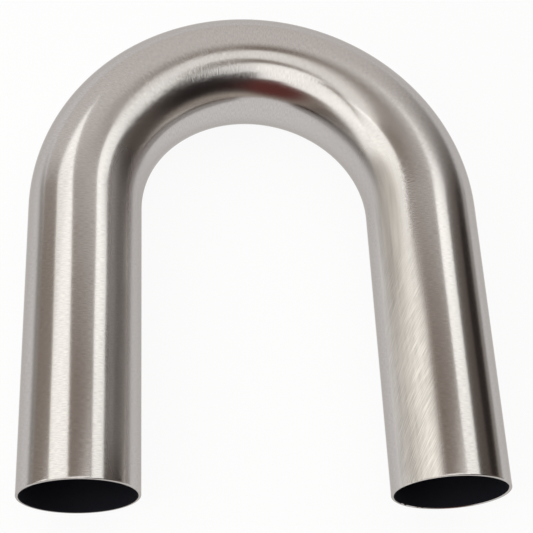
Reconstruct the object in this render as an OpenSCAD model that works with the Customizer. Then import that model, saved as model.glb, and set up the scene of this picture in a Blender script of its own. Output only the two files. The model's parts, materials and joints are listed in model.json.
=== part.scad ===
// Return bend: one length of thin stainless tube, bent through half a turn over a mandrel.
// It lies on its side. X runs across the legs, Y from the open ends to the crown, Z up.
// The origin is on the floor, under the middle of the bend's outline.

/* [Tube] */
// Outside diameter of the tube
tube_od = 63.5; // [38:0.5:102]
// Wall thickness of the straight tube
wall = 1.65; // [1.2:0.05:3]

/* [Bend] */
// Radius of the bend, measured at the tube's centreline
centreline_radius = 97; // [60:0.5:200]
// How much the outer wall has thinned, and the inner wall thickened, at the crown
crown_thinning = 0.3; // [0:0.05:0.6]

/* [Legs] */
// Straight length of the left leg, from the bend to its open end
left_leg = 166; // [20:1:400]
// Straight length of the right leg, from the bend to its open end
right_leg = 166; // [20:1:400]

/* [Open ends] */
// Radius that deburring leaves on the outer edge of an open end
outer_edge_radius = 0.5; // [0.1:0.05:0.6]
// Chamfer that deburring leaves on the inner edge of an open end
inner_edge_chamfer = 0.3; // [0.1:0.05:0.5]

/* [Hidden] */
$fn = 180;

tube_r = tube_od / 2;
bore_r = tube_r - wall;
crown_reach = centreline_radius + tube_r;
bend_centre = [0, (max(left_leg, right_leg) - crown_reach) / 2, tube_r];
cut_over = 1;

// Half section of a solid leg about its axis, with its open end at y = 0 and that end's edge rounded.
module leg_section(radius, length, edge) {
    translate([0, edge]) square([radius, length - edge]);
    square([radius - edge, 2 * edge]);
    translate([radius - edge, edge]) circle(edge);
}

// A solid leg that runs from its open end, at y = -length, to the bend, at y = 0.
module leg(length) {
    translate([0, -length, 0])
        rotate([-90, 0, 0])
            rotate_extrude() leg_section(tube_r, length, outer_edge_radius);
}

// The hole through a leg, past its open end and on into the bend by as much as the bore's bend is set back.
module leg_bore(length) {
    translate([0, -length - cut_over, 0])
        rotate([-90, 0, 0])
            cylinder(h = length + cut_over + crown_thinning, r = bore_r);
    translate([0, -length, 0])
        rotate([-90, 0, 0])
            mouth_chamfer();
}

// Cone that breaks the inner edge of an open end.
module mouth_chamfer() {
    reach = inner_edge_chamfer + cut_over;
    translate([0, 0, -cut_over])
        cylinder(h = reach, r1 = bore_r + reach, r2 = bore_r);
}

// Half a turn of a round rod, from the left leg over the crown to the right leg.
module half_turn(radius) {
    rotate_extrude(angle = 180)
        translate([centreline_radius, 0]) circle(radius);
}

// The outside of the tube: both legs and the bend keep one diameter.
module outer_form() {
    half_turn(tube_r);
    translate([-centreline_radius, 0, 0]) leg(left_leg);
    translate([centreline_radius, 0, 0]) leg(right_leg);
}

// The gas way. Its bend has the same radius but sits further out by the thinning, so the wall is even
// along the legs and grows thinner outside and thicker inside towards the crown, with no step.
module gas_way() {
    translate([0, crown_thinning, 0]) half_turn(bore_r);
    translate([-centreline_radius, 0, 0]) leg_bore(left_leg);
    translate([centreline_radius, 0, 0]) leg_bore(right_leg);
}

module return_bend() {
    color("#a8a29c")
        translate(bend_centre)
            difference() {
                outer_form();
                gas_way();
            }
}

return_bend();
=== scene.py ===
"""A return bend of satin stainless tube, lying on its side on a white studio floor.

The tube is modelled as it is made: a round of tube is drawn out into a leg, swept over the bend and drawn
out into the other leg, once for the outside and once for the gas way. The two walls are joined and deburred
at the open ends.
"""

import json
import logging
import math
from dataclasses import dataclass
from enum import Enum

import bpy
import numpy as np
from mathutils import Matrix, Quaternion, Vector


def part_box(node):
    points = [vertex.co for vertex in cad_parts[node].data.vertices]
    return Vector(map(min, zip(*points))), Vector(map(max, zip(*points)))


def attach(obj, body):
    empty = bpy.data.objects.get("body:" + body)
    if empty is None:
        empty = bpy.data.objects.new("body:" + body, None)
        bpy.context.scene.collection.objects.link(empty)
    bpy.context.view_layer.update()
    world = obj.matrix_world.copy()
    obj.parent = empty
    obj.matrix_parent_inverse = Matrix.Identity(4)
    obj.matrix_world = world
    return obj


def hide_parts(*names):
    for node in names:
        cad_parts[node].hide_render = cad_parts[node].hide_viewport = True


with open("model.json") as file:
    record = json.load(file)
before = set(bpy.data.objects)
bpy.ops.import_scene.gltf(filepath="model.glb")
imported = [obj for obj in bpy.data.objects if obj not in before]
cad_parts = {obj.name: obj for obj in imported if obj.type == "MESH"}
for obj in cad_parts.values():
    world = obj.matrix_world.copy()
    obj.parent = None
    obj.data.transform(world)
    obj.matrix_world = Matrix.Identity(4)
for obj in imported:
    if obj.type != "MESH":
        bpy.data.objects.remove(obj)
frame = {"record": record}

Tree = bpy.types.NodeTree
Socket = bpy.types.NodeSocket

MM = 0.001
NODE = "return_bend"
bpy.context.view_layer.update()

log = logging.getLogger("return_bend")


class End(Enum):
    """The two open ends, with the side of the mid-plane that each lies on."""

    LEFT = -1
    RIGHT = 1


class Mark(Enum):
    """The marks in the metal's surface."""

    BRUSH = "brush lines round the tube"
    FLECK = "short flecks round the tube"
    STROKE = "slanting strokes of the worked-over patch"
    HATCH = "slanting strokes of the hatched band"
    STREAK = "long streaks along the tube"
    WAVE = "slight long wave of the wall"


class Handling(Enum):
    """What was done to a patch of the tube's finish after brushing."""

    MATT = "rubbed matt"
    MILKY = "worked over with slanting strokes until it looks milky"
    DULLED = "rubbed duller"
    FLECKED = "marked with short flecks round the tube"
    HATCHED = "marked with a narrow band of slanting strokes"


def linear(colour: str) -> tuple[float, float, float, float]:
    """Turns an sRGB hex colour, six digits after a hash, into linear RGBA."""
    channels = [int(colour[i : i + 2], 16) / 255 for i in (1, 3, 5)]
    return (*(c / 12.92 if c <= 0.04045 else ((c + 0.055) / 1.055) ** 2.4 for c in channels), 1.0)


def add_node(
    tree: Tree, kind: str, inputs: dict[str | int, object] | None = None, **settings: object
) -> bpy.types.Node:
    """Adds one node with its settings and links.

    Args:
        tree: The node tree that gets the node.
        kind: The node's type name.
        inputs: A value, or a socket to link from, for each input by its name or number.
        settings: Attributes of the node itself.

    Returns:
        The new node.
    """
    node = tree.nodes.new(kind)
    for name, value in settings.items():
        setattr(node, name, value)
    for name, value in (inputs or {}).items():
        if isinstance(value, Socket):
            tree.links.new(value, node.inputs[name])
        else:
            node.inputs[name].default_value = value
    return node


def empty_material(name: str) -> bpy.types.Material:
    """Makes a material with an empty node tree.

    Args:
        name: The material's name.

    Returns:
        The new material.
    """
    material = bpy.data.materials.new(name)
    material.use_nodes = True
    material.node_tree.nodes.clear()
    return material


@dataclass(frozen=True)
class MarkSize:
    """The size of one kind of mark: spacing, length, depth, and slant from straight round the tube.

    The detail is how many finer sizes of the same mark are added.
    """

    spacing_mm: float
    length_mm: float
    depth_mm: float = 0.0
    slant_deg: float = 0.0
    detail: float = 2.0

    def field(self, tree: Tree, place: Socket) -> Socket:
        """Adds the marks to a material.

        Args:
            tree: The material's node tree.
            place: The tube's own map.

        Returns:
            The socket of the marks, from 0 at their lowest to 1 at their highest.
        """
        slant = (0.0, 0.0, math.radians(self.slant_deg))
        turned = add_node(tree, "ShaderNodeMapping", {"Vector": place, "Rotation": slant})
        scale = (1 / (self.spacing_mm * MM), 1 / (self.length_mm * MM), 1.0)
        drawn = add_node(tree, "ShaderNodeMapping", {"Vector": turned.outputs["Vector"], "Scale": scale})
        grain = {"Vector": drawn.outputs["Vector"], "Scale": 1.0, "Detail": self.detail}
        return add_node(tree, "ShaderNodeTexNoise", grain).outputs["Fac"]


@dataclass(frozen=True)
class Patch:
    """A stretch of the tube's surface: from where to where along it, and between which angles from its top.

    Places along the tube are in metres from its left open end, and angles are positive towards the outside
    of the bend. The two fades are the lengths, along the tube and round it, over which the patch fades out.
    """

    along: tuple[float, float]
    angles_deg: tuple[float, float]
    fades_mm: tuple[float, float]

    def mask(self, tree: Tree, place: Socket, radius: float) -> Socket:
        """Adds the test of whether a place lies in the patch.

        Args:
            tree: The material's node tree.
            place: The tube's own map.
            radius: The tube's outside radius.

        Returns:
            The socket of the test, from 0 outside to 1 inside.
        """
        parts = add_node(tree, "ShaderNodeSeparateXYZ", {"Vector": place}).outputs
        start, stop = self.along
        low, high = (math.radians(angle) * radius for angle in self.angles_deg)
        fade_along, fade_round = (fade * MM for fade in self.fades_mm)
        inside = 1.0
        for length, edge, soft in (
            (parts["X"], start, fade_along),
            (parts["X"], stop, -fade_along),
            (parts["Y"], low, fade_round),
            (parts["Y"], high, -fade_round),
        ):
            past = add_node(
                tree,
                "ShaderNodeMapRange",
                {"Value": length, "From Min": edge - soft / 2, "From Max": edge + soft / 2},
                interpolation_type="SMOOTHSTEP",
            ).outputs["Result"]
            inside = add_node(tree, "ShaderNodeMath", {0: past, 1: inside}, operation="MULTIPLY").outputs[0]
        return inside


@dataclass(frozen=True)
class SatinStainless:
    """304 stainless tube, belt polished and then brushed round its girth.

    The brush lines run round the tube, so a lamp's reflection keeps its edges across the tube and softens
    along it. The wall has a slight long wave. Short flecks make the reflections' edges ragged on the left of
    the crown and at the top of the right leg. The right of the bend and the inner flank of the left leg are
    duller, the inner flank of the right leg is matt and then milky towards its end, and the left leg has a
    narrow hatched band. The pale colour of the milky stretch, and of the streaks in the matt one, is painted
    sheen on real wear, and the pale strokes are painted glints on real strokes.
    """

    # Brush lines, flecks and strokes are far finer on the real tube. Here they are as coarse as they need to
    # be to show.
    MARKS = {
        Mark.BRUSH: MarkSize(spacing_mm=0.45, length_mm=3.0, depth_mm=0.004),
        Mark.FLECK: MarkSize(spacing_mm=0.9, length_mm=4.0, depth_mm=0.1),
        Mark.STROKE: MarkSize(spacing_mm=0.45, length_mm=14.0, depth_mm=0.035, slant_deg=-57.0),
        Mark.HATCH: MarkSize(spacing_mm=0.45, length_mm=14.0, depth_mm=0.06, slant_deg=57.0),
        Mark.STREAK: MarkSize(spacing_mm=4.0, length_mm=60.0, slant_deg=90.0),
        Mark.WAVE: MarkSize(spacing_mm=40.0, length_mm=40.0, depth_mm=0.15, detail=1.0),
    }
    # Each mark's colour runs from its first tone to its second over this middle stretch of its height.
    TONES = {Mark.BRUSH: (0.35, 0.65), Mark.STREAK: (0.35, 0.65), Mark.STROKE: (0.45, 0.65)}

    colour: str = "#c3bfbd"
    line_colour: str = "#b8b4b2"
    # Paler than the metal: painted sheen on the worked stretch, where a lamp's light is spread across the
    # strokes.
    milky_and_sheen_colour: str = "#dcd8d3"
    matt_colour: str = "#c5c1bc"
    # Near white: painted glints on the slanting strokes.
    stroke_glint_colour: str = "#ece8e3"
    # Just under white, so that the tube's outline stays grey where it mirrors the white floor at a low angle.
    edge_colour: str = "#d8d5d2"
    roughness: float = 0.17
    # The brush lines change the roughness by this share, over this middle stretch of their height.
    roughness_share: float = 0.05
    roughness_heights: tuple[float, float] = (0.3, 0.7)
    dulled_roughness: float = 0.26
    flecked_roughness: float = 0.22
    hatched_roughness: float = 0.4
    matt_roughness: float = 0.5
    milky_roughness: float = 0.52
    anisotropy: float = 0.3
    # The level of a mark's field that is neither raised nor sunk.
    mark_middle: float = 0.5
    # How far a patch that reaches the right open end runs on past it, so that it doesn't fade out there.
    run_on_mm: float = 100.0

    def material(self, tube: "BentTube") -> bpy.types.Material:
        """Builds the finish.

        Args:
            tube: The tube that wears it, whose map gives the lengths along and round it, in metres.

        Returns:
            The material.
        """
        material = empty_material("stainless_304_satin_brushed")
        tree = material.node_tree
        place = add_node(tree, "ShaderNodeUVMap", uv_map=tube.MAP).outputs["UV"]
        handled = self._handled(tree, place, tube)
        marked = {kind: size.field(tree, place) for kind, size in self.MARKS.items()}
        height = self._height(tree, handled, marked)
        bump = add_node(tree, "ShaderNodeBump", {"Height": height, "Strength": 1.0, "Distance": 1.0})
        along = add_node(tree, "ShaderNodeTangent", direction_type="UV_MAP", uv_map=tube.MAP)
        shader = add_node(
            tree,
            "ShaderNodeBsdfPrincipled",
            {
                "Base Color": self._colour(tree, handled, marked),
                "Metallic": 1.0,
                "Specular Tint": linear(self.edge_colour),
                "Roughness": self._roughness(tree, handled, marked),
                "Anisotropic": self.anisotropy,
                "Tangent": along.outputs["Tangent"],
                "Normal": bump.outputs["Normal"],
            },
        )
        add_node(tree, "ShaderNodeOutputMaterial", {"Surface": shader.outputs["BSDF"]})
        return material

    def _handled(self, tree: Tree, place: Socket, tube: "BentTube") -> dict[Handling, Socket]:
        """Adds the tests of where the finish was handled.

        Args:
            tree: The material's node tree.
            place: The tube's own map.
            tube: The tube.

        Returns:
            For each kind of handling, the socket of its test, from 0 outside its patches to 1 inside.
        """
        crown, right_leg = tube.length / 2, tube.length - tube.leg
        past_end = tube.length + self.run_on_mm * MM
        patches = (
            (Handling.MATT, Patch((right_leg - 25 * MM, past_end), (-66, -34), (60, 8))),
            (Handling.MILKY, Patch((right_leg + 50 * MM, past_end), (-66, -22), (110, 8))),
            (Handling.DULLED, Patch((0.0, tube.leg + 40 * MM), (-100, -30), (20, 6))),
            (Handling.DULLED, Patch((crown + 60 * MM, right_leg + 20 * MM), (-85, -45), (40, 6))),
            (Handling.DULLED, Patch((crown + 30 * MM, right_leg), (-20, 40), (60, 8))),
            (Handling.FLECKED, Patch((crown - 110 * MM, crown - 5 * MM), (-55, 0), (20, 6))),
            (Handling.FLECKED, Patch((right_leg - 25 * MM, right_leg + 90 * MM), (-36, -19), (30, 5))),
            (Handling.HATCHED, Patch((10 * MM, tube.leg + 20 * MM), (-44, -27), (40, 5))),
        )
        handled = dict.fromkeys(Handling, 0.0)
        for kind, patch in patches:
            terms = {0: patch.mask(tree, place, tube.tube_radius), 1: handled[kind]}
            handled[kind] = add_node(tree, "ShaderNodeMath", terms, operation="ADD").outputs[0]
        return handled

    def _colour(self, tree: Tree, handled: dict[Handling, Socket], marked: dict[Mark, Socket]) -> Socket:
        """Adds the colour: brushed metal, with streaks of painted sheen where it was rubbed matt, and painted
        sheen with pale strokes of painted glint where milky.

        Args:
            tree: The material's node tree.
            handled: The test of each kind of handling.
            marked: The field of each kind of mark.

        Returns:
            The socket of the colour.
        """
        tones = {}
        for kind, (low, high) in self.TONES.items():
            limits = {"Value": marked[kind], "From Min": low, "From Max": high}
            tones[kind] = add_node(tree, "ShaderNodeMapRange", limits).outputs["Result"]
        # The milky colour is painted sheen and the stroke colour painted glint, so the rubbed and worked
        # mixes carry painted sheen.
        seen = {
            "line": linear(self.line_colour),
            "brushed": linear(self.colour),
            "matt": linear(self.matt_colour),
            "milky": linear(self.milky_and_sheen_colour),
            "stroke": linear(self.stroke_glint_colour),
        }
        for mixed, share, first, second in (
            ("metal", tones[Mark.BRUSH], "line", "brushed"),
            ("rubbed", tones[Mark.STREAK], "matt", "milky"),
            ("worked", tones[Mark.STROKE], "rubbed", "stroke"),
            ("metal", handled[Handling.MATT], "metal", "rubbed"),
            ("metal", handled[Handling.MILKY], "metal", "worked"),
        ):
            colours = {"Factor": share, 6: seen[first], 7: seen[second]}
            seen[mixed] = add_node(tree, "ShaderNodeMix", colours, data_type="RGBA").outputs[2]
        return seen["metal"]

    def _roughness(
        self, tree: Tree, handled: dict[Handling, Socket], marked: dict[Mark, Socket]
    ) -> Socket:
        """Adds the roughness: slightly uneven along the brush lines, and duller where the tube was handled.

        Args:
            tree: The material's node tree.
            handled: The test of each kind of handling.
            marked: The field of each kind of mark.

        Returns:
            The socket of the roughness.
        """
        low, high = self.roughness_heights
        limits = {
            "Value": marked[Mark.BRUSH],
            "From Min": low,
            "From Max": high,
            "To Min": (1 - self.roughness_share) * self.roughness,
            "To Max": (1 + self.roughness_share) * self.roughness,
        }
        rough = add_node(tree, "ShaderNodeMapRange", limits).outputs["Result"]
        for kind, level in (
            (Handling.FLECKED, self.flecked_roughness),
            (Handling.DULLED, self.dulled_roughness),
            (Handling.HATCHED, self.hatched_roughness),
            (Handling.MATT, self.matt_roughness),
            (Handling.MILKY, self.milky_roughness),
        ):
            levels = {"Factor": handled[kind], "A": rough, "B": level}
            rough = add_node(tree, "ShaderNodeMix", levels).outputs["Result"]
        return rough

    def _height(self, tree: Tree, handled: dict[Handling, Socket], marked: dict[Mark, Socket]) -> Socket:
        """Adds the height of the surface: brush lines and wave all over, other marks where they were made.

        Args:
            tree: The material's node tree.
            handled: The test of each kind of handling.
            marked: The field of each kind of mark.

        Returns:
            The socket of the height, in metres.
        """
        height = 0.0
        for kind, share in (
            (Mark.BRUSH, 1.0),
            (Mark.FLECK, handled[Handling.FLECKED]),
            (Mark.STROKE, handled[Handling.MILKY]),
            (Mark.HATCH, handled[Handling.HATCHED]),
            (Mark.WAVE, 1.0),
        ):
            heights = {0: marked[kind], 1: self.mark_middle}
            lift = add_node(tree, "ShaderNodeMath", heights, operation="SUBTRACT")
            depths = {0: share, 1: self.MARKS[kind].depth_mm * MM}
            depth = add_node(tree, "ShaderNodeMath", depths, operation="MULTIPLY")
            terms = {0: lift.outputs[0], 1: depth.outputs[0], 2: height}
            height = add_node(tree, "ShaderNodeMath", terms, operation="MULTIPLY_ADD").outputs[0]
        return height


@dataclass(frozen=True)
class DarkBore:
    """The bore: unpolished, and coloured near black as painted shade of the tube's inside, so the mouth reads
    as black.
    """

    # Near black: painted shade inside the bore.
    colour: str = "#1c1d24"
    roughness: float = 0.7
    roughness_spread: float = 0.1
    specular: float = 0.1
    mottle_mm: float = 6.0

    def material(self) -> bpy.types.Material:
        """Builds the finish.

        Returns:
            The material, mottled over the bore's own place in the part.
        """
        material = empty_material("stainless_304_dark_oxide_bore")
        tree = material.node_tree
        place = add_node(tree, "ShaderNodeTexCoord").outputs["Object"]
        grain = {"Vector": place, "Scale": 1 / (self.mottle_mm * MM), "Detail": 3.0}
        mottle = add_node(tree, "ShaderNodeTexNoise", grain).outputs["Fac"]
        limits = {
            "Value": mottle,
            "To Min": self.roughness - self.roughness_spread,
            "To Max": self.roughness + self.roughness_spread,
        }
        rough = add_node(tree, "ShaderNodeMapRange", limits).outputs["Result"]
        shader = add_node(
            tree,
            "ShaderNodeBsdfPrincipled",
            {"Base Color": linear(self.colour), "Roughness": rough, "Specular IOR Level": self.specular},
        )
        add_node(tree, "ShaderNodeOutputMaterial", {"Surface": shader.outputs["BSDF"]})
        return material


@dataclass
class BentTube:
    """The tube: two straight legs and the half turn between them, with its wall, in metres."""

    MAP = "along_and_round"
    SAME_POINT = 0.001 * MM
    SAME_PLANE = 0.01 * MM

    tube_radius: float
    bore_radius: float
    centreline_radius: float
    open_end: float
    bend_start: float
    crown_thinning: float = 0.3 * MM
    outer_edge_radius: float = 0.5 * MM
    inner_edge_chamfer: float = 0.3 * MM
    segments_round: int = 192
    bend_steps: int = 120
    leg_steps: int = 20
    rim_step: float = 1.2 * MM
    edge_steps: int = 4
    smooth_below_deg: float = 30.0

    @classmethod
    def from_frame(cls) -> "BentTube":
        """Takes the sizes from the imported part's own mounts and box.

        Returns:
            The tube at its real size and place.
        """
        mounts = {m["name"]: m for m in frame["record"]["mounts"]}
        spigot, bore = mounts["left_spigot"], mounts["left_bore"]
        half_leg = bore["dims"]["length_mm"] * MM / 2
        return cls(
            tube_radius=spigot["dims"]["r_mm"] * MM,
            bore_radius=bore["dims"]["r_mm"] * MM,
            centreline_radius=-spigot["pos_m"][0],
            open_end=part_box(NODE)[0].y,
            bend_start=bore["pos_m"][1] + half_leg,
        )

    @property
    def height(self) -> float:
        """Height of the tube's centreline above the floor."""
        return self.tube_radius

    @property
    def leg(self) -> float:
        """Length of a straight leg."""
        return self.bend_start - self.open_end

    @property
    def length(self) -> float:
        """Length of the tube along its centreline."""
        return 2 * self.leg + math.pi * self.centreline_radius

    def build(self) -> bpy.types.Object:
        """Models the tube.

        Returns:
            The finished mesh object, at the origin.
        """
        outside = self._wall("tube_outside", self.tube_radius, self.bend_start, inward=False)
        set_back = self.bend_start + self.crown_thinning
        gas_way = self._wall("tube_bore", self.bore_radius, set_back, inward=True)
        bpy.ops.object.select_all(action="DESELECT")
        gas_way.select_set(True)
        outside.select_set(True)
        bpy.context.view_layer.objects.active = outside
        bpy.ops.object.join()
        outside.name = outside.data.name = "bent_tube"
        for end in End:
            self._close_mouth(outside, end)
        self._deburr(outside)
        bpy.ops.object.shade_smooth_by_angle(angle=math.radians(self.smooth_below_deg))
        self._unroll(outside)
        return outside

    def dress(self, tube: bpy.types.Object, satin: SatinStainless, bore: DarkBore) -> None:
        """Gives the outside and the lips their satin finish, and the bore its dark one of painted shade.

        Args:
            tube: The finished tube.
            satin: The finish of the outside.
            bore: The finish of the gas way.
        """
        tube.data.materials.append(satin.material(self))
        tube.data.materials.append(bore.material())
        centres = self._places(tube.data.polygons, "center")
        depth = self.inner_edge_chamfer / 2
        in_bore = self._from_axis(centres) < self.bore_radius + self.crown_thinning + depth
        behind_lip = centres[:, 1] > self.open_end + depth
        tube.data.polygons.foreach_set("material_index", (in_bore & behind_lip).astype(np.int32))

    def _wall(self, name: str, radius: float, bend_centre: float, inward: bool) -> bpy.types.Object:
        """Draws one wall of the tube from the left open end to the right one.

        Args:
            name: The object's name.
            radius: Radius of the wall.
            bend_centre: Where the middle of the half turn lies along the legs.
            inward: Whether the faces look at the centreline, as a bore's do.

        Returns:
            The open-ended wall.
        """
        step = (bend_centre - self.open_end - self.rim_step) / self.leg_steps
        steps = [self.rim_step] + [step] * self.leg_steps
        bpy.ops.object.select_all(action="DESELECT")
        bpy.ops.mesh.primitive_circle_add(
            vertices=self.segments_round,
            radius=radius,
            location=(-self.centreline_radius, self.open_end, self.height),
            rotation=(math.pi / 2, 0.0, 0.0),
        )
        wall = bpy.context.object
        wall.name = name
        bpy.ops.object.transform_apply(location=True, rotation=True, scale=True)
        bpy.ops.object.mode_set(mode="EDIT")
        bpy.ops.mesh.select_all(action="SELECT")
        for stretch in steps:
            bpy.ops.mesh.extrude_region_move(TRANSFORM_OT_translate={"value": (0.0, stretch, 0.0)})
        bpy.ops.mesh.spin(
            steps=self.bend_steps, angle=math.pi, center=(0.0, bend_centre, self.height), axis=(0.0, 0.0, 1.0)
        )
        for stretch in reversed(steps):
            bpy.ops.mesh.extrude_region_move(TRANSFORM_OT_translate={"value": (0.0, -stretch, 0.0)})
        bpy.ops.mesh.select_all(action="SELECT")
        bpy.ops.mesh.remove_doubles(threshold=self.SAME_POINT)
        bpy.ops.mesh.normals_make_consistent(inside=inward)
        bpy.ops.object.mode_set(mode="OBJECT")
        return wall

    def _close_mouth(self, tube: bpy.types.Object, end: End) -> None:
        """Joins the outside to the bore with the flat ring of an open end.

        Args:
            tube: The two walls as one mesh.
            end: Which open end.
        """
        points = self._places(tube.data.vertices, "co")
        self._select_edges(tube, self._at_mouth(points) & (points[:, 0] * end.value > 0))
        bpy.ops.object.mode_set(mode="EDIT")
        bpy.ops.mesh.bridge_edge_loops()
        bpy.ops.object.mode_set(mode="OBJECT")

    def _deburr(self, tube: bpy.types.Object) -> None:
        """Rounds the outer edge of both open ends and chamfers the inner one.

        Args:
            tube: The closed tube.
        """
        middle = (self.tube_radius + self.bore_radius) / 2
        for outer, size, steps in (
            (True, self.outer_edge_radius, self.edge_steps),
            (False, self.inner_edge_chamfer, 1),
        ):
            points = self._places(tube.data.vertices, "co")
            self._select_edges(tube, self._at_mouth(points) & ((self._from_axis(points) > middle) == outer))
            bpy.ops.object.mode_set(mode="EDIT")
            bpy.ops.mesh.bevel(offset=size, segments=steps, affect="EDGES")
            bpy.ops.object.mode_set(mode="OBJECT")

    def _select_edges(self, tube: bpy.types.Object, chosen: np.ndarray) -> None:
        """Selects the edges whose two ends are both chosen, and nothing else.

        Args:
            tube: The mesh object.
            chosen: Whether each vertex is chosen.
        """
        bpy.ops.object.mode_set(mode="EDIT")
        bpy.ops.mesh.select_mode(type="EDGE")
        bpy.ops.mesh.select_all(action="DESELECT")
        bpy.ops.object.mode_set(mode="OBJECT")
        ends = np.empty(2 * len(tube.data.edges), dtype=np.int32)
        tube.data.edges.foreach_get("vertices", ends)
        tube.data.edges.foreach_set("select", chosen[ends.reshape(-1, 2)].all(axis=1))

    @staticmethod
    def _places(items: bpy.types.bpy_prop_collection, name: str) -> np.ndarray:
        """Gives the places of vertices or faces.

        Args:
            items: The vertices or the faces.
            name: The attribute that holds a place.

        Returns:
            One row of X, Y and Z for each.
        """
        places = np.empty(3 * len(items))
        items.foreach_get(name, places)
        return places.reshape(-1, 3)

    def _at_mouth(self, points: np.ndarray) -> np.ndarray:
        """Says which points lie in the plane of the open ends."""
        return np.abs(points[:, 1] - self.open_end) < self.SAME_PLANE

    def _outward(self, points: np.ndarray) -> np.ndarray:
        """Gives how far points lie outside the centreline, in the plane of the bend."""
        past = np.maximum(points[:, 1] - self.bend_start, 0.0)
        return np.hypot(points[:, 0], past) - self.centreline_radius

    def _from_axis(self, points: np.ndarray) -> np.ndarray:
        """Gives the distance of points from the tube's centreline."""
        return np.hypot(self._outward(points), points[:, 2] - self.height)

    def _round(self, points: np.ndarray) -> np.ndarray:
        """Gives the length round the tube from its top, positive towards the outside of the bend."""
        return np.arctan2(self._outward(points), points[:, 2] - self.height) * self.tube_radius

    def _along(self, points: np.ndarray) -> np.ndarray:
        """Gives how far along the centreline points lie.

        Args:
            points: One row of X, Y and Z for each.

        Returns:
            Each one's length from the left open end.
        """
        past = np.maximum(points[:, 1] - self.bend_start, 0.0)
        before = np.minimum(points[:, 1] - self.bend_start, 0.0)
        turned = math.pi - np.arctan2(past, points[:, 0])
        return self.leg + turned * self.centreline_radius - np.sign(points[:, 0]) * before

    def _unroll(self, tube: bpy.types.Object) -> None:
        """Maps the tube by real lengths: along its centreline, and round it from the top towards the outside.

        The map's seam is at the bottom of the tube, against the floor.

        Args:
            tube: The finished mesh.
        """
        mesh = tube.data
        corners = np.empty(len(mesh.loops), dtype=np.int32)
        mesh.loops.foreach_get("vertex_index", corners)
        sides = np.empty(len(mesh.polygons), dtype=np.int32)
        mesh.polygons.foreach_get("loop_total", sides)
        points = self._places(mesh.vertices, "co")
        middles = np.repeat(self._round(self._places(mesh.polygons, "center")), sides)
        turns = self._round(points)[corners]
        girth = 2 * math.pi * self.tube_radius
        turns -= girth * np.round((turns - middles) / girth)
        layer = mesh.uv_layers.new(name=self.MAP)
        layer.data.foreach_set("uv", np.column_stack((self._along(points)[corners], turns)).ravel())


@dataclass(frozen=True)
class Softbox:
    """A level rectangular lamp: its middle, width, depth, how bright it looks and its turn from above."""

    name: str
    middle: tuple[float, float, float]
    width: float
    depth: float
    radiance: float
    turn_deg: float = 0.0


@dataclass(frozen=True)
class Tint:
    """A part of the room with a colour of its own, round a middle that lies in a given direction.

    The colour starts and is full at two cosines of the angle from that direction.
    """

    name: str
    colour: str
    middle: tuple[float, float, float]
    starts: float
    full: float


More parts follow.
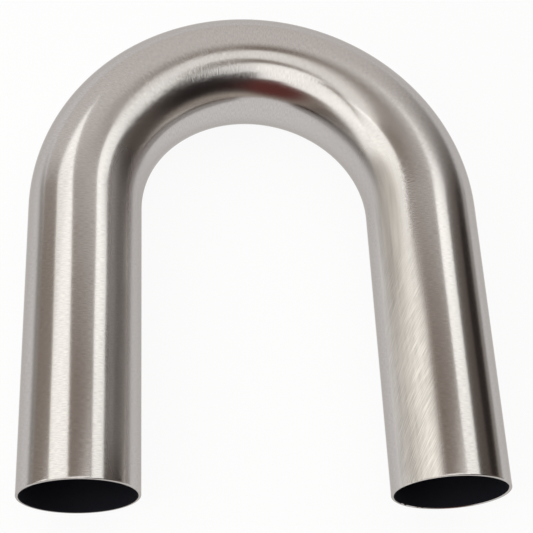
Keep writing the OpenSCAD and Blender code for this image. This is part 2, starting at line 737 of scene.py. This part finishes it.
@dataclass
class Studio:
    """The floor, the room, the lamps and the camera, in metres."""

    SOFTBOXES = (
        Softbox("left_softbox", (-0.603, 0.124, 0.6), 0.57, 0.46, 1.4, turn_deg=12),
        Softbox("left_far_softbox", (-0.693, 0.545, 0.6), 0.57, 0.4, 1.05, turn_deg=12),
        Softbox("right_softbox", (1.6, 0.77, 2.4), 1.38, 2.08, 1.38),
        Softbox("middle_softbox", (-1.35, 0.2, 9.0), 10.0, 3.0, 1.15, turn_deg=14),
        Softbox("side_left_softbox", (-6.6, -0.5, 1.1), 9.7, 1.8, 1.45),
        Softbox("front_left_softbox", (-1.025, -0.75, 1.1), 1.45, 0.92, 1.45),
        Softbox("front_softbox", (-0.09, -0.6, 1.1), 0.42, 0.88, 1.55),
        Softbox("front_right_softbox", (0.335, -0.395, 1.1), 0.43, 0.43, 1.1),
    )
    # Each one lies over those before it.
    TINTS = (
        Tint("dim_ceiling", "#847468", (0.1, -0.25, 0.963), 0.65, 0.88),
        Tint("pale_wall_behind", "#f0ece8", (0.12, 0.993, 0.0), 0.32, 0.58),
        Tint("dim_right_side", "#69615b", (0.95, -0.3, 0.0), 0.1, 0.68),
        Tint("dark_front_right", "#1e1716", (0.55, -0.7, 0.45), 0.75, 0.95),
        Tint("pale_low_front", "#c4bab0", (0.25, -0.35, -0.9), 0.1, 0.34),
        Tint("dark_right_corner", "#332c2a", (0.91, 0.36, 0.2), 0.977, 0.993),
        Tint("dim_low_left", "#80766d", (-0.82, -0.57, 0.05), 0.91, 0.98),
        Tint("red_brown_front", "#703c38", (-0.13, -0.9, 0.41), 0.89, 0.98),
    )

    lamp_colour: str = "#fbfffd"
    room_colour: str = "#a3988e"
    floor_colour: str = "#f2f2f2"
    floor_half: float = 6.0
    # How much of what the eye and the metal see of the floor is its glow. The rest is the lit paper, with
    # the shadow.
    floor_glow: float = 0.92
    glow_colour: str = "#ffffff"
    # Seen only in the metal: painted shade of the floor beside and in front of the bend.
    mirrored_shade_colour: str = "#a8a39e"
    white_glow_middle: float = 0.035
    white_glow_side_fade: tuple[float, float] = (0.27, 0.45)
    white_glow_back_slope: float = 0.5
    white_glow_back_fade: tuple[float, float] = (-0.1, 0.15)
    eye: tuple[float, float, float] = (-0.0849, -0.3351, 0.6828)
    aim: tuple[float, float, float] = (0.006, 0.0092, 0.0317)
    roll_deg: float = -13.91
    lens_mm: float = 87.5
    sensor_mm: float = 36.0
    shift: tuple[float, float] = (0.0, -0.075)

    def build(self) -> None:
        """Sets up the whole studio."""
        self._floor()
        self._room()
        for box in self.SOFTBOXES:
            self._lamp(box)
        self._camera()
        bpy.context.scene.view_settings.view_transform = "Standard"

    def _floor(self) -> None:
        """Lays the floor of matt white paper, which looks white to the eye and keeps a soft shadow."""
        bpy.ops.object.select_all(action="DESELECT")
        bpy.ops.mesh.primitive_plane_add(size=2 * self.floor_half)
        floor = bpy.context.object
        floor.name = "studio_floor"
        material = empty_material("white_paper_floor")
        tree = material.node_tree
        paper = add_node(tree, "ShaderNodeBsdfDiffuse", {"Color": linear(self.floor_colour)})
        path = add_node(tree, "ShaderNodeLightPath").outputs
        colour = self._glow_colour(tree, path["Is Glossy Ray"])
        white = add_node(tree, "ShaderNodeEmission", {"Color": colour, "Strength": 1.0})
        seen = path["Is Camera Ray"]
        for ray in ("Is Glossy Ray", "Is Transmission Ray"):
            seen = add_node(tree, "ShaderNodeMath", {0: seen, 1: path[ray]}, operation="MAXIMUM").outputs[0]
        glow = add_node(tree, "ShaderNodeMath", {0: seen, 1: self.floor_glow}, operation="MULTIPLY")
        layers = {0: glow.outputs[0], 1: paper.outputs[0], 2: white.outputs[0]}
        mixed = add_node(tree, "ShaderNodeMixShader", layers)
        add_node(tree, "ShaderNodeOutputMaterial", {"Surface": mixed.outputs[0]})
        floor.data.materials.append(material)

    def _glow_colour(self, tree: Tree, mirrored: Socket) -> Socket:
        """Adds the colour that the floor shows: white to the eye, and in the metal white with a grey of
        painted shade round it.

        The white ends beside the bend, where the grey painted shade shows, and widens behind it.

        Args:
            tree: The floor's node tree.
            mirrored: Whether the floor is seen in the metal.

        Returns:
            The socket of the colour.
        """
        place = add_node(tree, "ShaderNodeTexCoord").outputs["Object"]
        parts = add_node(tree, "ShaderNodeSeparateXYZ", {"Vector": place}).outputs
        offset = add_node(tree, "ShaderNodeMath", {0: parts["X"], 1: self.white_glow_middle}, operation="SUBTRACT")
        aside = add_node(tree, "ShaderNodeMath", {0: offset.outputs[0]}, operation="ABSOLUTE").outputs[0]
        terms = {0: aside, 1: -self.white_glow_back_slope, 2: parts["Y"]}
        behind = add_node(tree, "ShaderNodeMath", terms, operation="MULTIPLY_ADD").outputs[0]
        mirrored_shade_share = mirrored
        for length, (start, stop), before, after in (
            (aside, self.white_glow_side_fade, 0.0, 1.0),
            (behind, self.white_glow_back_fade, 1.0, 0.0),
        ):
            limits = {"Value": length, "From Min": start, "From Max": stop, "To Min": before, "To Max": after}
            past = add_node(tree, "ShaderNodeMapRange", limits, interpolation_type="SMOOTHSTEP")
            shares = {0: past.outputs["Result"], 1: mirrored_shade_share}
            mirrored_shade_share = add_node(tree, "ShaderNodeMath", shares, operation="MULTIPLY").outputs[0]
        colours = {"Factor": mirrored_shade_share, 6: linear(self.glow_colour), 7: linear(self.mirrored_shade_colour)}
        return add_node(tree, "ShaderNodeMix", colours, data_type="RGBA").outputs[2]

    def _room(self) -> None:
        """Colours the room that the metal mirrors: warm grey, with the tints of its parts."""
        world = bpy.data.worlds.new("studio_room")
        world.use_nodes = True
        tree = world.node_tree
        tree.nodes.clear()
        sky = add_node(tree, "ShaderNodeTexCoord").outputs["Generated"]
        colour = linear(self.room_colour)
        for tint in self.TINTS:
            facing = add_node(tree, "ShaderNodeVectorMath", {0: sky, 1: tint.middle}, operation="DOT_PRODUCT")
            limits = {"Value": facing.outputs["Value"], "From Min": tint.starts, "From Max": tint.full}
            share = add_node(tree, "ShaderNodeMapRange", limits, interpolation_type="SMOOTHSTEP")
            colours = {"Factor": share.outputs["Result"], 6: colour, 7: linear(tint.colour)}
            mixed = add_node(tree, "ShaderNodeMix", colours, data_type="RGBA", label=tint.name)
            colour = mixed.outputs[2]
        light = add_node(tree, "ShaderNodeBackground", {"Color": colour, "Strength": 1.0})
        add_node(tree, "ShaderNodeOutputWorld", {"Surface": light.outputs[0]})
        bpy.context.scene.world = world

    def _lamp(self, box: Softbox) -> None:
        """Hangs one softbox, shining down.

        Args:
            box: The softbox.
        """
        lamp = bpy.data.lights.new(box.name, "AREA")
        lamp.shape = "RECTANGLE"
        lamp.size, lamp.size_y = box.width, box.depth
        lamp.energy = box.radiance * math.pi * box.width * box.depth
        lamp.color = linear(self.lamp_colour)[:3]
        hung = bpy.data.objects.new(box.name, lamp)
        hung.location = box.middle
        hung.rotation_euler.z = math.radians(box.turn_deg)
        hung.visible_camera = False
        bpy.context.scene.collection.objects.link(hung)

    def _camera(self) -> None:
        """Sets the camera where the photograph was taken from."""
        view = bpy.data.cameras.new("camera")
        view.lens = self.lens_mm
        view.sensor_width = self.sensor_mm
        view.shift_x, view.shift_y = self.shift
        camera = bpy.data.objects.new("camera", view)
        camera.location = self.eye
        ahead = (Vector(self.aim) - Vector(self.eye)).to_track_quat("-Z", "Y")
        camera.rotation_euler = (ahead @ Quaternion((0, 0, 1), math.radians(-self.roll_deg))).to_euler()
        bpy.context.scene.collection.objects.link(camera)
        bpy.context.scene.camera = camera


def main() -> None:
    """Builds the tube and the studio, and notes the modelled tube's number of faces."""
    logging.basicConfig(level=logging.INFO, format="%(message)s")
    Studio().build()
    tube = BentTube.from_frame()
    piece = tube.build()
    tube.dress(piece, SatinStainless(), DarkBore())
    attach(piece, "root")
    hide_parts(NODE)
    log.info("%s: %d faces", piece.name, len(piece.data.polygons))


if __name__ == "__main__":
    main()
